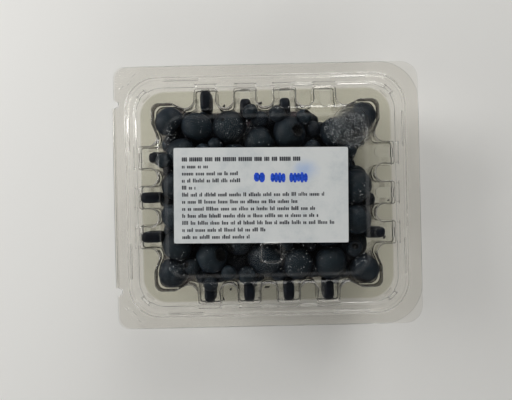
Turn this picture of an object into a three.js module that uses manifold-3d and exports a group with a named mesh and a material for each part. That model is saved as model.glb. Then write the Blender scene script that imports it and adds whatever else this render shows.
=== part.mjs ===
import * as THREE from 'three';
import { mergeVertices } from 'three/addons/utils/BufferGeometryUtils.js';
import Module from 'manifold-3d';

const wasm = await Module();
wasm.setup();

// Millimetres, +Z up, the foot of the base on z = 0, hinge on -X, opening side on +X.
// Every outline is measured outward from this rectangle ("reach" below).
const coreX = 33.8;
const coreY = 25.7;
const seamZ = 22;
const lidHeight = 14;
const baseHeight = 22;
const wall = 0.6;
const seamGap = 0.3;

// Rim of each half: flat brim, raised locking ridge, ledge round the fluted body.
const brimReach = 27.3;
const openingEdge = 62;
const hingeEdge = 60.9;
const ridgeFoot = 23;
const ridgeTop = 22.5;
const ridgeInner = 19.7;
const ledgeReach = 17.8;
const ledgeRise = 2.6;
const ridgeRise = 1.4;

// Fluted body: four lobes on a long side, three on a short one, grooves between.
const lobeHalf = 4.65;
const longLobes = [7.85, 23.6];
const shortLobes = [0, 15.8];
const lobeFront = 17.5;
const grooveEnd = 9.05;
const crestStart = 8;
const crestEnd = 5.6;
const draft = 0.8;
const earReach = [10.8, 11.2];
const earPlace = [40.4, 32.4];
const earSize = 19;

// Vent slot in the sloping crest of each lobe of the lid.
const slotWidth = 4.2;
const slotStart = 8;
const slotEnd = 16.5;
const slotFoot = 4.1;

// Recessed panel on top: reach and corner radius at its floor and at its edge.
const panelDrop = 0.8;
const panelFloor = [5.2, 6.5];
const panelEdge = [5.8, 7];

// Small forms on the rim: pads outside the lobes, snap bars on the ridge, lugs at the corners.
const padPlace = 18.2;
const padSize = [2.2, 8.2];
const padHeights = [2.3, 4];
const barReach = 21.2;
const barSize = [15.5, 0.9];
const barAlong = [33.5, 25.5];
const barHeights = [1.6, 2.5];
const lugPlace = [47.2, 39.2];
const lugSize = [5, 3.4];
const lugHeights = [2.2, 4.4];

// Hinge: a roll along -X between two notches, on a strip of the lid's brim.
const hingeHalf = 36.5;
const hingeRadius = 0.5;
const hingeLift = 0.25;
const stripWidth = 0.8;
const notchWidth = 1.8;
const notchDepth = 1.5;

const labelSize = [67.6, 37, 0.15];
const labelRound = 0.4;
const labelCentre = [-2.3, 0];
const labelTurn = -0.9;

// Berries: loose ones, and held ones in the lobes and corners as [height from the seam, reach].
// Those in a lobe are pressed longer and narrower by its walls.
const berryCount = 82;
const berryRadius = [5.8, 7];
const lobeBerry = 3.8;
const lobeShape = [1.1, 0.58];
const lobePlaces = [[-4.4, 12.3], [3.4, 12.3]];
const shallowStep = 3.6;
const earBerry = 5.5;
const earPlaces = [[-6, 4.4], [5.2, 4.4]];
const berryRoom = 0.75;
const lidNarrowing = 0.074;
const baseNarrowing = 0.0425;
const spread = [84, 68, 2, 32];
const gaps = [[40.5, 14.5, 4.2], [24.5, 36, 6], [43, -19, 3.4]];
const rounds = 400;
const pullRounds = 240;
const pullStep = 0.1;
const pullAlong = [0.6, 0.5, 0.5];
const seed = 8;

// Solid middle of the heap, and the bars from it into the lobes.
const heapCore = [34, 26, 7.5, 28.5];
const fingerSize = [14, 3];
const fingerPlace = 5.4;
const fingerHeights = [16, 21];
const ballShare = 0.965;
const leastProud = 3.4;

function toSolid(geometry) {
  const merged = mergeVertices(geometry, 1e-5);
  return new wasm.Manifold(new wasm.Mesh({
    numProp: 3,
    vertProperties: Float32Array.from(merged.attributes.position.array),
    triVerts: Uint32Array.from(merged.index.array),
  }));
}

function indexed(vertices, faces) {
  const geometry = new THREE.BufferGeometry();
  geometry.setAttribute('position', new THREE.Float32BufferAttribute(vertices, 3));
  geometry.setIndex(faces);
  return geometry;
}

// A solid from a three.js geometry with normals and texture coordinates left out.
function plainSolid({ attributes, index }) {
  return toSolid(indexed(Array.from(attributes.position.array), Array.from(index.array)));
}

function toMesh(solid, name, look) {
  const { vertProperties, triVerts } = solid.getMesh();
  const geometry = indexed(Array.from(vertProperties), Array.from(triVerts));
  geometry.computeVertexNormals();
  const mesh = new THREE.Mesh(geometry, new THREE.MeshStandardMaterial(look));
  mesh.name = name;
  return mesh;
}

// A solid between two outlines of as many points, one above the other.
function loft(lower, upper, lowZ, highZ) {
  const count = lower.length;
  const vertices = [];
  lower.forEach(([x, y]) => vertices.push(x, y, lowZ));
  upper.forEach(([x, y]) => vertices.push(x, y, highZ));
  const faces = [];
  for (let i = 0; i < count; i += 1) {
    const j = (i + 1) % count;
    faces.push(i, j, count + j, i, count + j, count + i);
  }
  const flat = lower.map(([x, y]) => new THREE.Vector2(x, y));
  THREE.ShapeUtils.triangulateShape(flat, []).forEach(([a, b, c]) => {
    faces.push(a, c, b, count + a, count + b, count + c);
  });
  return toSolid(indexed(vertices, faces));
}

function roundedRect(left, right, halfY, roundLeft, roundRight, sides = 4) {
  const points = [];
  for (let corner = 0; corner < 4; corner += 1) {
    const onLeft = corner === 1 || corner === 2;
    const radius = onLeft ? roundLeft : roundRight;
    const centreX = onLeft ? radius - left : right - radius;
    const centreY = (corner < 2 ? 1 : -1) * (halfY - radius);
    for (let k = 0; k <= sides; k += 1) {
      const angle = (corner + k / sides) * Math.PI / 2;
      points.push([centreX + radius * Math.cos(angle), centreY + radius * Math.sin(angle)]);
    }
  }
  return points;
}

function ring(reach, round, sides = 4) {
  return roundedRect(coreX + reach, coreX + reach, coreY + reach, round, round, sides);
}

function block(x, y, lowZ, highZ, sizeX, sizeY, turn = 0) {
  const box = new THREE.BoxGeometry(sizeX, sizeY, highZ - lowZ);
  box.rotateZ(turn);
  box.translate(x, y, (lowZ + highZ) / 2);
  return plainSolid(box);
}

// Corners of half a side, [along, reach, radius], from its middle towards its end.
function sideCorners(lobes) {
  const corners = [];
  lobes.forEach((centre, i) => {
    const before = centre - lobeHalf;
    const after = centre + lobeHalf;
    if (before > 0) {
      const bend = i === 0 ? before : (before - lobes[i - 1] - lobeHalf) / 2;
      corners.push([before, grooveEnd, bend], [before, lobeFront, 0]);
    }
    const next = lobes[i + 1];
    const bend = next === undefined ? 3.2 : (next - lobeHalf - after) / 2;
    corners.push([after, lobeFront, 0], [after, grooveEnd, bend]);
  });
  return corners;
}

function roundCorners(corners, sides) {
  const points = [];
  const count = corners.length;
  corners.forEach(([x, y, radius], i) => {
    if (radius === 0) {
      points.push([x, y]);
      return;
    }
    const here = new THREE.Vector2(x, y);
    const [beforeX, beforeY] = corners[(i + count - 1) % count];
    const [afterX, afterY] = corners[(i + 1) % count];
    const back = new THREE.Vector2(beforeX, beforeY).sub(here).normalize();
    const onward = new THREE.Vector2(afterX, afterY).sub(here).normalize();
    const halfAngle = Math.acos(THREE.MathUtils.clamp(back.dot(onward), -1, 1)) / 2;
    const hub = back.clone().add(onward).normalize().multiplyScalar(radius / Math.sin(halfAngle));
    hub.add(here);
    const from = here.clone().addScaledVector(back, radius / Math.tan(halfAngle)).sub(hub);
    const sweep = from.cross(here.clone().sub(hub)) > 0 ? 1 : -1;
    const total = sweep * (Math.PI - 2 * halfAngle);
    const steps = Math.abs(total) > 1 ? sides : 1;
    for (let k = 0; k <= steps; k += 1) {
      const spoke = from.clone().rotateAround(new THREE.Vector2(), total * k / steps).add(hub);
      points.push([spoke.x, spoke.y]);
    }
  });
  return points.filter(([x, y], i) => {
    const [lastX, lastY] = points[(i + points.length - 1) % points.length];
    return Math.hypot(x - lastX, y - lastY) > 0.02;
  });
}

// Moves every edge of an outline inward by a distance.
function inset(points, distance) {
  const count = points.length;
  return points.map(([x, y], i) => {
    const [ax, ay] = points[(i + count - 1) % count];
    const [bx, by] = points[(i + 1) % count];
    const one = new THREE.Vector2(ay - y, x - ax).normalize();
    const two = new THREE.Vector2(y - by, bx - x).normalize();
    const shift = distance / (1 + one.dot(two));
    return [x + (one.x + two.x) * shift, y + (one.y + two.y) * shift];
  });
}

// Plan of the fluted body where it stands on the ledge.
function flutedOutline() {
  const [earX, earY] = earReach;
  const quarter = sideCorners(shortLobes).map(([along, out, bend]) => [coreX + out, along, bend]);
  quarter.push([coreX + grooveEnd, coreY - 1.4, 1.5], [coreX + earX, coreY + 2.8, 2]);
  quarter.push([coreX + earX, coreY + earY, 3.4]);
  quarter.push([coreX + 2.6, coreY + earY, 2], [coreX - 1.8, coreY + grooveEnd, 1.5]);
  const top = sideCorners(longLobes).map(([along, out, bend]) => [along, coreY + out, bend]);
  quarter.push(...top.reverse());
  const half = quarter.concat([...quarter].reverse().map(([x, y, bend]) => [-x, y, bend]));
  const whole = half.concat(half.map(([x, y, bend]) => [-x, -y, bend]));
  return roundCorners(whole, 2);
}

// Every lobe as its middle line: origin on the core rectangle, outward direction.
function lobeLines() {
  const lines = [];
  [-1, 1].forEach((side) => {
    [-1, 1].forEach((half) => {
      longLobes.forEach((along) => lines.push([half * along, side * coreY, 0, side]));
    });
    [-1, 0, 1].forEach((step) => lines.push([side * coreX, step * shortLobes[1], side, 0]));
  });
  return lines;
}

function roof(height, top, drop) {
  const fall = (height - crestEnd) / (lobeFront - crestStart);
  const low = crestStart + (height - drop) / fall;
  const high = crestStart + (height - drop - top) / fall;
  const hip = loft(ring(low, 0.5, 1), ring(high, 0.5, 1), 0, top);
  let whole = hip;
  [-1, 1].forEach((sx) => {
    [-1, 1].forEach((sy) => {
      whole = whole.add(block(sx * earPlace[0], sy * earPlace[1], 0, top, earSize, earSize));
    });
  });
  return whole;
}

function slotTool([x, y, outX, outY]) {
  const half = slotWidth / 2;
  const points = [[slotEnd, half]];
  for (let k = 0; k <= 6; k += 1) {
    const angle = Math.PI / 2 + Math.PI * k / 6;
    points.push([slotStart + half + half * Math.cos(angle), half * Math.sin(angle)]);
  }
  points.push([slotEnd, -half]);
  const placed = points.map(([out, across]) => [
    x + outX * out - outY * across,
    y + outY * out + outX * across,
  ]);
  return loft(placed, placed, slotFoot, lidHeight + 1);
}

// The hollow fluted body of one half, standing up from z = 0.
function flutedShell(height) {
  const foot = flutedOutline();
  const outerPlan = [inset(foot, 0), inset(foot, draft)];
  const innerPlan = [inset(foot, wall), inset(foot, draft + wall)];
  const rise = height - ledgeRise;
  const outer = loft(outerPlan[0], outerPlan[1], ledgeRise, ledgeRise + rise)
    .intersect(roof(height, height, 0))
    .subtract(loft(ring(...panelFloor), ring(...panelEdge), height - panelDrop, height + 1));
  const slope = (height - crestEnd) / (lobeFront - crestStart);
  const inner = loft(innerPlan[0], innerPlan[1], ledgeRise, ledgeRise + rise)
    .add(loft(innerPlan[0], innerPlan[0], ledgeRise - 1, ledgeRise))
    .intersect(roof(height, height - wall, wall * Math.hypot(1, slope)))
    .subtract(loft(ring(...panelEdge), ring(...panelEdge), height - panelDrop - wall, height + 1));
  return { outer, inner };
}

// A closed cross-section [reach, z, corner radius] carried round the pack.
function rim(section, edges) {
  const vertices = [];
  const faces = [];
  const rings = section.map(([reach, z, round]) => {
    if (reach < brimReach) {
      return ring(reach, round).map(([x, y]) => [x, y, z]);
    }
    return roundedRect(edges.left, edges.right, coreY + reach, edges.roundLeft, edges.roundRight)
      .map(([x, y]) => [x, y, z]);
  });
  rings.forEach((points) => points.forEach((point) => vertices.push(...point)));
  const count = rings[0].length;
  rings.forEach((points, i) => {
    const next = (i + 1) % rings.length;
    for (let k = 0; k < count; k += 1) {
      const a = i * count + k;
      const b = i * count + (k + 1) % count;
      const c = next * count + (k + 1) % count;
      const d = next * count + k;
      faces.push(a, b, c, a, c, d);
    }
  });
  return toSolid(indexed(vertices, faces));
}

function snapBars() {
  const bars = [];
  [-1, 1].forEach((sx) => {
    [-1, 1].forEach((sy) => {
      const [length, width] = barSize;
      bars.push(block(sx * barAlong[0], sy * (coreY + barReach), ...barHeights, length, width));
      bars.push(block(sx * (coreX + barReach), sy * barAlong[1], ...barHeights, width, length));
    });
  });
  return bars;
}

// Cuts the two notches at the ends of the hinge into the brim.
function notched(half) {
  let cut = half;
  [-1, 1].forEach((sy) => {
    const middle = sy * (hingeHalf + notchWidth / 2);
    cut = cut.subtract(block(-hingeEdge, middle, -2, 2, 2 * notchDepth, notchWidth));
  });
  return cut;
}

function makeLid() {
  const edges = { left: hingeEdge, right: openingEdge, roundLeft: 4, roundRight: 16 };
  const section = [
    [grooveEnd - 2, ledgeRise, 6], [ledgeReach, ledgeRise, 10], [ridgeInner, ridgeRise, 11],
    [ridgeTop - 0.5, ridgeRise, 13], [ridgeFoot - 0.5, 0, 13], [brimReach, 0, 0],
    [brimReach, wall, 0], [ridgeFoot, wall, 13.3], [ridgeTop, ridgeRise + wall, 13],
    [ridgeInner, ridgeRise + wall, 11], [ledgeReach, ledgeRise + wall, 10],
    [grooveEnd - 2, ledgeRise + wall, 6],
  ];
  const { outer, inner } = flutedShell(lidHeight);
  let lid = rim(section, edges).add(outer);
  snapBars().forEach((bar) => {
    lid = lid.add(bar);
  });
  lobeLines().forEach(([x, y, outX, outY]) => {
    const size = [padSize[outX ? 0 : 1], padSize[outY ? 0 : 1]];
    lid = lid.add(block(x + outX * padPlace, y + outY * padPlace, ...padHeights, ...size));
  });
  [-1, 1].forEach((sx) => {
    [-1, 1].forEach((sy) => {
      const turn = -sx * sy * Math.PI / 4;
      lid = lid.add(block(sx * lugPlace[0], sy * lugPlace[1], ...lugHeights, ...lugSize, turn));
    });
  });
  lid = lid.subtract(inner);
  lobeLines().forEach((line) => {
    lid = lid.subtract(slotTool(line));
  });
  const roll = new THREE.CylinderGeometry(hingeRadius, hingeRadius, 2 * hingeHalf, 12);
  const rollX = openingEdge - hingeRadius;
  roll.translate(-rollX, 0, hingeLift);
  lid = lid.add(plainSolid(roll));
  lid = lid.add(block(-hingeEdge, 0, 0.1, wall, stripWidth, 2 * hingeHalf - 1));
  return notched(lid).translate(0, 0, seamZ);
}

function makeBase() {
  const edges = { left: hingeEdge - 0.3, right: openingEdge, roundLeft: 5.5, roundRight: 7 };
  const step = ridgeRise - seamGap;
  const section = [
    [grooveEnd - 2, -ledgeRise - wall, 6], [ledgeReach, -ledgeRise - wall, 10],
    [ridgeInner + 0.6, step - wall - 0.7, 11], [ridgeTop - 1.4, step - wall, 12.2],
    [ridgeFoot - 1.2, -seamGap - wall, 12.6], [brimReach, -seamGap - wall, 0],
    [brimReach, -seamGap, 0], [ridgeFoot - 0.9, -seamGap, 13], [ridgeTop - 1, step, 12.6],
    [ridgeInner + 0.4, step, 11], [ledgeReach, -ledgeRise, 10], [grooveEnd - 2, -ledgeRise, 6],
  ];
  const { outer, inner } = flutedShell(baseHeight);
  let base = rim(section, edges).add(outer.rotate(180, 0, 0));
  base = base.subtract(inner.rotate(180, 0, 0));
  return notched(base).translate(0, 0, seamZ);
}

function makeRandom(seed) {
  let state = seed;
  return () => {
    state = (state * 1664525 + 1013904223) % 4294967296;
    return state / 4294967296;
  };
}

// The inside of the closed pack at one height, for a berry of one radius.
function clampInside(berry) {
  const room = berryRoom + berry.radius;
  berry.z = Math.min(Math.max(berry.z, panelDrop + room), seamZ + lidHeight - panelDrop - room);
  const lift = berry.z - seamZ;
  const narrowing = lift > 0 ? lidNarrowing * lift : -baseNarrowing * lift;
  const reach = grooveEnd - narrowing - room;
  berry.x = Math.min(Math.max(berry.x, -coreX - reach), coreX + reach);
  berry.y = Math.min(Math.max(berry.y, -coreY - reach), coreY + reach);
}

// The lobes at the back right corner that no berry has rolled into.
function isBare([x, y]) {
  return (y > 20 && x > 20) || (x > 30 && y > -5);
}

// Lobes with dark only at their inner end.
function isShallow([x, y]) {
  return (Math.abs(x) < 10 && y > 20) || x > 30 || (x < -30 && y > 10);
}

// The gaps in the heap stay open from the floor to the panel.
function keepOffGaps(berry) {
  gaps.forEach(([x, y, radius]) => {
    const dx = berry.x - x;
    const dy = berry.y - y;
    const apart = Math.sqrt(dx * dx + dy * dy) + 0.0001;
    if (apart < radius + berry.radius) {
      const push = (radius + berry.radius - apart) / apart;
      berry.x += dx * push;
      berry.y += dy * push;
    }
  });
}

function heldBerries() {
  const berries = [];
  lobeLines().filter((line) => !isBare(line)).forEach((line) => {
    const [x, y, outX, outY] = line;
    const slim = [lobeShape[outX ? 0 : 1], lobeShape[outY ? 0 : 1], 1];
    lobePlaces.forEach(([lift, farthest]) => {
      const out = farthest - (isShallow(line) ? shallowStep : 0);
      const place = { x: x + outX * out, y: y + outY * out, z: seamZ + lift };
      berries.push({ ...place, radius: lobeBerry, slim, held: true });
    });
  });
  [-1, 1].forEach((sx) => {
    [-1, 1].forEach((sy) => {
      earPlaces.forEach(([lift, out]) => {
        const place = { x: sx * (coreX + out), y: sy * (coreY + out), z: seamZ + lift };
        berries.push({ ...place, radius: earBerry, slim: [1, 1, 1], held: true });
      });
    });
  });
  return berries;
}

// Loose berries dropped at random, then pushed apart until they only touch.
function packBerries() {
  const random = makeRandom(seed);
  const berries = heldBerries();
  const [spreadX, spreadY, lowest, tall] = spread;
  for (let i = 0; i < berryCount; i += 1) {
    const radius = berryRadius[0] + (berryRadius[1] - berryRadius[0]) * random();
    const x = spreadX * random() - spreadX / 2;
    const y = spreadY * random() - spreadY / 2;
    const berry = { x, y, z: lowest + tall * random(), radius, slim: [1, 1, 1], held: false };
    clampInside(berry);
    berries.push(berry);
  }
  for (let round = 0; round < rounds; round += 1) {
    for (let i = 0; i < berries.length; i += 1) {
      const a = berries[i];
      for (let j = i + 1; j < berries.length; j += 1) {
        const b = berries[j];
        const dx = b.x - a.x;
        const dy = b.y - a.y;
        const dz = b.z - a.z;
        const touch = a.radius + b.radius;
        const square = dx * dx + dy * dy + dz * dz;
        if (square < touch * touch && !(a.held && b.held)) {
          const apart = Math.sqrt(square) + 0.0001;
          const push = (touch - apart) / apart * (a.held || b.held ? 1 : 0.5);
          if (!a.held) {
            a.x -= dx * push;
            a.y -= dy * push;
            a.z -= dz * push;
          }
          if (!b.held) {
            b.x += dx * push;
            b.y += dy * push;
            b.z += dz * push;
          }
        }
      }
    }
    const pull = round < pullRounds ? pullStep * (1 - round / pullRounds) : 0;
    berries.forEach((berry) => {
      if (!berry.held) {
        berry.x -= pull * pullAlong[0];
        berry.y -= pull * pullAlong[1];
        berry.z -= pull * pullAlong[2];
        keepOffGaps(berry);
        clampInside(berry);
      }
    });
  }
  return berries;
}

// The outside surface alone, with no pocket closed up among the berries.
function biggest(solid) {
  return solid.decompose().reduce((best, piece) => (piece.volume() > best.volume() ? piece : best));
}

function makeBerries() {
  const [halfX, halfY, lowZ, highZ] = heapCore;
  let heap = block(0, 0, lowZ, highZ, 2 * halfX, 2 * halfY);
  lobeLines().filter((line) => !isBare(line)).forEach(([x, y, outX, outY]) => {
    const size = [fingerSize[outX ? 0 : 1], fingerSize[outY ? 0 : 1]];
    heap = heap.add(block(x + outX * fingerPlace, y + outY * fingerPlace, ...fingerHeights, ...size));
  });
  packBerries().forEach((berry) => {
    const outward = Math.max(
      Math.abs(berry.x) - halfX,
      Math.abs(berry.y) - halfY,
      lowZ - berry.z,
      berry.z - highZ,
    );
    if (outward + berry.radius > leastProud) {
      const size = berry.radius * ballShare;
      const Ball = berry.radius > lobeBerry ? THREE.IcosahedronGeometry : THREE.OctahedronGeometry;
      const ball = new Ball(size, 1);
      ball.deleteAttribute('normal');
      ball.deleteAttribute('uv');
      ball.rotateZ(berry.x + berry.y);
      ball.rotateX(berry.y + berry.z);
      ball.scale(...berry.slim);
      ball.translate(berry.x, berry.y, berry.z);
      heap = heap.add(toSolid(ball));
    }
  });
  return biggest(heap);
}

function makeLabel() {
  const [length, width, thickness] = labelSize;
  const sheet = roundedRect(length / 2, length / 2, width / 2, labelRound, labelRound, 2);
  const bed = seamZ + lidHeight - panelDrop + 0.03;
  return loft(sheet, sheet, 0, thickness).rotate(0, 0, labelTurn).translate(...labelCentre, bed);
}

const clear = {
  color: 0xdfe6e6,
  roughness: 0.1,
  transparent: true,
  opacity: 0.35,
  side: THREE.DoubleSide,
};
const part = new THREE.Group();
part.name = 'punnet';
part.add(toMesh(makeBase(), 'base', clear));
part.add(toMesh(makeBerries(), 'berries', { color: 0x2b3447, roughness: 0.6 }));
part.add(toMesh(makeLid(), 'lid', clear));
part.add(toMesh(makeLabel(), 'label', { color: 0xe4e7e6, roughness: 0.7 }));

export default part;
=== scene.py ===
import math
import bmesh
import bpy
import numpy as np
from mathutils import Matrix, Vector
from mathutils.geometry import delaunay_2d_cdt


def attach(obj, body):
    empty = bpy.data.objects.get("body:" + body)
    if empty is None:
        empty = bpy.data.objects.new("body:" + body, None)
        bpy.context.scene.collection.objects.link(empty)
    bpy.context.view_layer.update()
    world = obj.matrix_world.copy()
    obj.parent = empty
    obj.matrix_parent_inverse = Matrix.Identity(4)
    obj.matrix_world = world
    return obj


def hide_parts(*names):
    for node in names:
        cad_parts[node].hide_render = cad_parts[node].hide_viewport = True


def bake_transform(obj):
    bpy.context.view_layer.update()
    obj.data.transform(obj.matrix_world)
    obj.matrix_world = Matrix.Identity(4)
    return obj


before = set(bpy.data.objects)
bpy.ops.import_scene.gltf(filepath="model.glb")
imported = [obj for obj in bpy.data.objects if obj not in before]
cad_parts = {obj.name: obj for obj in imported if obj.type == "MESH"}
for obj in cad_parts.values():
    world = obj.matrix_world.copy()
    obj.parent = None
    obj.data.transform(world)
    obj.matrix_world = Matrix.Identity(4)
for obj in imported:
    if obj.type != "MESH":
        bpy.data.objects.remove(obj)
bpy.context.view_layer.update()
print("frame loaded")

mm = 0.001

# Plan shared by both halves, in millimetres outward ("reach") from a core rectangle.
pack = {
    "coreX": 33.8,
    "coreY": 25.7,
    "seamZ": 22.0,
    "sheet": 0.35,               # thickness of the formed sheet
    "lobeHalf": 4.65,
    "longLobes": (7.85, 23.6),
    "shortLobes": (0.0, 15.8),
    "lobeFront": 17.35,
    "grooveEnd": 9.05,
    "crestStart": 8.0,
    "crestEnd": 5.6,             # height of the lobe's crest at its front
    "crestBend": 0.8,
    "lobeBend": 1.3,
    "endBend": 3.2,              # of the groove next to a corner
    "earCorners": ((9.05, -1.4, 1.5), (10.8, 2.8, 2.0), (10.8, 11.2, 3.4), (2.6, 11.2, 2.0),
                   (-1.8, 9.05, 1.5)),       # from the core's corner, with bend radius
    "earFrom": 2.3,              # how far inside the core's corner the crests stay level
    "draft": 0.35,               # how far the walls lean in over their height
    "footZ": 3.2,
    "edgeRound": 0.5,
    "footRound": 0.35,
    "slot": (8.1, 16.4, 4.1),    # start, end, width
    "slotCut": 0.4,
    "panelHalf": (39.0, 30.9),
    "panelRound": 6.5,
    "panelDrop": 0.8,
    "panelSlope": 2.4,
    "ledgeReach": 18.1,
    "hingeHalf": 36.5,
}


def placed(name, data):
    piece = bpy.data.objects.new(name, data)
    bpy.context.scene.collection.objects.link(piece)
    return piece


def meshObject(name, points, faces):
    mesh = bpy.data.meshes.new(name)
    mesh.from_pydata([tuple(c * mm for c in p) for p in points], [], faces)
    mesh.validate()
    mesh.update()
    return placed(name, mesh)


def settled(piece):
    # The piece as plain mesh, with its modifiers taken in
    bpy.context.view_layer.update()
    graph = bpy.context.evaluated_depsgraph_get()
    plain = bpy.data.meshes.new_from_object(piece.evaluated_get(graph))
    plain.name = piece.name
    piece.modifiers.clear()
    piece.data = plain
    return piece


def smoothShaded(piece, degrees):
    piece.data.shade_smooth()
    piece.data.set_sharp_from_angle(angle=math.radians(degrees))
    return piece


def thickened(piece, thickness, offset):
    wall = piece.modifiers.new("wall", "SOLIDIFY")
    wall.thickness = thickness * mm
    wall.offset = offset
    return smoothShaded(settled(piece), 40)


def ringFaces(first, rings, count):
    # Quads between rings of points that follow each other
    faces = []
    for a in range(first, first + (rings - 1) * count, count):
        b = a + count
        faces += [(a + k, b + k, b + (k + 1) % count, a + (k + 1) % count) for k in range(count)]
    return faces


def gridFaces(rows, columns):
    corners = [j * (columns + 1) + i for j in range(rows) for i in range(columns)]
    return [(a, a + 1, a + columns + 2, a + columns + 1) for a in corners]


def sideCorners(lobes):
    # Corners of half a side from its middle to its end: along, reach, bend radius
    corners = []
    half = pack["lobeHalf"]
    for i, centre in enumerate(lobes):
        before, after = centre - half, centre + half
        if before > 0:
            bend = before if i == 0 else (before - lobes[i - 1] - half) / 2
            corners += [(before, pack["grooveEnd"], bend), (before, pack["lobeFront"], pack["lobeBend"])]
        bend = (lobes[i + 1] - half - after) / 2 if i + 1 < len(lobes) else pack["endBend"]
        corners += [(after, pack["lobeFront"], pack["lobeBend"]), (after, pack["grooveEnd"], bend)]
    return corners


def roundCorners(corners, turn=math.radians(8)):
    points = []
    for i, (x, y, radius) in enumerate(corners):
        here = Vector((x, y))
        back = (Vector(corners[i - 1][:2]) - here).normalized()
        onward = (Vector(corners[(i + 1) % len(corners)][:2]) - here).normalized()
        halfAngle = back.angle(onward) / 2
        hub = here + (back + onward).normalized() * (radius / math.sin(halfAngle))
        spoke = here + back * (radius / math.tan(halfAngle)) - hub
        sweep = math.pi - 2 * halfAngle
        if spoke.x * (here - hub).y - spoke.y * (here - hub).x < 0:
            sweep = -sweep
        steps = max(1, math.ceil(abs(sweep) / turn))
        for k in range(steps + 1):
            c, s = math.cos(sweep * k / steps), math.sin(sweep * k / steps)
            points.append((hub.x + spoke.x * c - spoke.y * s, hub.y + spoke.x * s + spoke.y * c))
    kept = [p for i, p in enumerate(points) if math.dist(p, points[i - 1]) > 0.02]
    dense = []
    for i, p in enumerate(kept):                 # long straight runs get points too
        q = kept[(i + 1) % len(kept)]
        parts = max(1, math.ceil(math.dist(p, q) / 1.0))
        dense += [(p[0] + (q[0] - p[0]) * k / parts, p[1] + (q[1] - p[1]) * k / parts) for k in range(parts)]
    return np.array(dense)


def flutedOutline():
    # Plan of the fluted body where it stands on the ledge
    cx, cy = pack["coreX"], pack["coreY"]
    quarter = [(cx + out, along, bend) for along, out, bend in sideCorners(pack["shortLobes"])]
    quarter += [(cx + outX, cy + outY, bend) for outX, outY, bend in pack["earCorners"]]
    quarter += [(along, cy + out, bend) for along, out, bend in reversed(sideCorners(pack["longLobes"]))]
    half = quarter + [(-x, y, bend) for x, y, bend in reversed(quarter)]
    return roundCorners(half + [(-x, -y, bend) for x, y, bend in half])


def inwardNormals(loop):
    ahead = np.roll(loop, -1, 0) - loop
    ahead /= np.linalg.norm(ahead, axis=1)[:, None]
    both = ahead + np.roll(ahead, 1, 0)
    both /= np.linalg.norm(both, axis=1)[:, None]
    return np.stack([-both[:, 1], both[:, 0]], 1)


def roundedRect(left, right, halfY, roundLeft, roundRight, counts=(110, 90, 28)):
    # Counter-clockwise from the middle of the +X side, always the same number of points
    alongX, alongY, bend = counts
    points = [(right, (halfY - roundRight) * k / (alongY / 2)) for k in range(alongY // 2)]
    stops = ((roundLeft - left, halfY, alongX), (-left, roundLeft - halfY, alongY),
             (right - roundRight, -halfY, alongX), (right, 0.0, alongY // 2))
    for corner in range(4):
        radius = roundLeft if corner in (1, 2) else roundRight
        centreX = radius - left if corner in (1, 2) else right - radius
        centreY = (halfY - radius) * (1 if corner < 2 else -1)
        for k in range(bend):
            angle = (corner + k / bend) * math.pi / 2
            points.append((centreX + radius * math.cos(angle), centreY + radius * math.sin(angle)))
        startX = centreX + radius * math.cos((corner + 1) * math.pi / 2)
        startY = centreY + radius * math.sin((corner + 1) * math.pi / 2)
        stopX, stopY, n = stops[corner]
        points += [(startX + (stopX - startX) * k / n, startY + (stopY - startY) * k / n) for k in range(n)]
    return np.array(points)


def ringAt(reach, bend, counts=(110, 90, 28)):
    right, half = pack["coreX"] + reach, pack["coreY"] + reach
    return roundedRect(right, right, half, bend, bend, counts)


def smooth(value):
    value = np.clip(value, 0, 1)
    return value * value * (3 - 2 * value)


def rectDistance(x, y, halfX, halfY, bend):
    # Outside positive, inside negative
    dx, dy = np.abs(x) - halfX + bend, np.abs(y) - halfY + bend
    outside = np.hypot(np.maximum(dx, 0), np.maximum(dy, 0))
    return outside + np.minimum(np.maximum(dx, dy), 0) - bend


def castOut(loop, left, right, halfY, roundLeft, roundRight):
    # Every point of a ring moved straight out to the brim's edge
    outward = -inwardNormals(loop)
    near, far = np.zeros(len(loop)), np.full(len(loop), 25.0)
    for _ in range(30):
        middle = (near + far) / 2
        x, y = (loop + outward * middle[:, None]).T
        onLeft = x < 0
        halfX, bend = np.where(onLeft, left, right), np.where(onLeft, roundLeft, roundRight)
        outside = rectDistance(x, y, halfX, halfY, bend) > 0
        near, far = np.where(outside, near, middle), np.where(outside, middle, far)
    return loop + outward * far[:, None]


def roofHeight(x, y, height):
    # Flat top, sloping crests over the lobes, recessed panel
    reach = np.maximum(np.abs(x) - pack["coreX"], np.abs(y) - pack["coreY"])
    past, bend = reach - pack["crestStart"], pack["crestBend"]
    ramp = np.where(past > bend, past, np.maximum(past + bend, 0) ** 2 / (4 * bend))
    inEar = (np.abs(x) > pack["coreX"] - pack["earFrom"]) & (np.abs(y) > pack["coreY"] - pack["earFrom"])
    fall = (height - pack["crestEnd"]) / (pack["lobeFront"] - pack["crestStart"])
    z = height - fall * np.where(inEar, 0.0, ramp)
    edge = rectDistance(x, y, *pack["panelHalf"], pack["panelRound"])
    z = z - pack["panelDrop"] * smooth(0.5 - edge / pack["panelSlope"])
    if height == lidShape["height"]:
        midX, midY, halfX, halfY, bend = lidShape["emboss"]
        ridge = np.abs(rectDistance(x - midX, y - midY, halfX, halfY, bend))
        z = z + lidShape["embossRise"] * smooth(1 - ridge / 0.5)
    return z


def lobeLines():
    # Origin on the core rectangle and outward direction of every lobe
    lines = []
    for side in (-1, 1):
        for half in (-1, 1):
            lines += [(half * along, side * pack["coreY"], 0, side) for along in pack["longLobes"]]
        lines += [(side * pack["coreX"], k * pack["shortLobes"][1], side, 0) for k in (-1, 0, 1)]
    return lines


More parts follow.
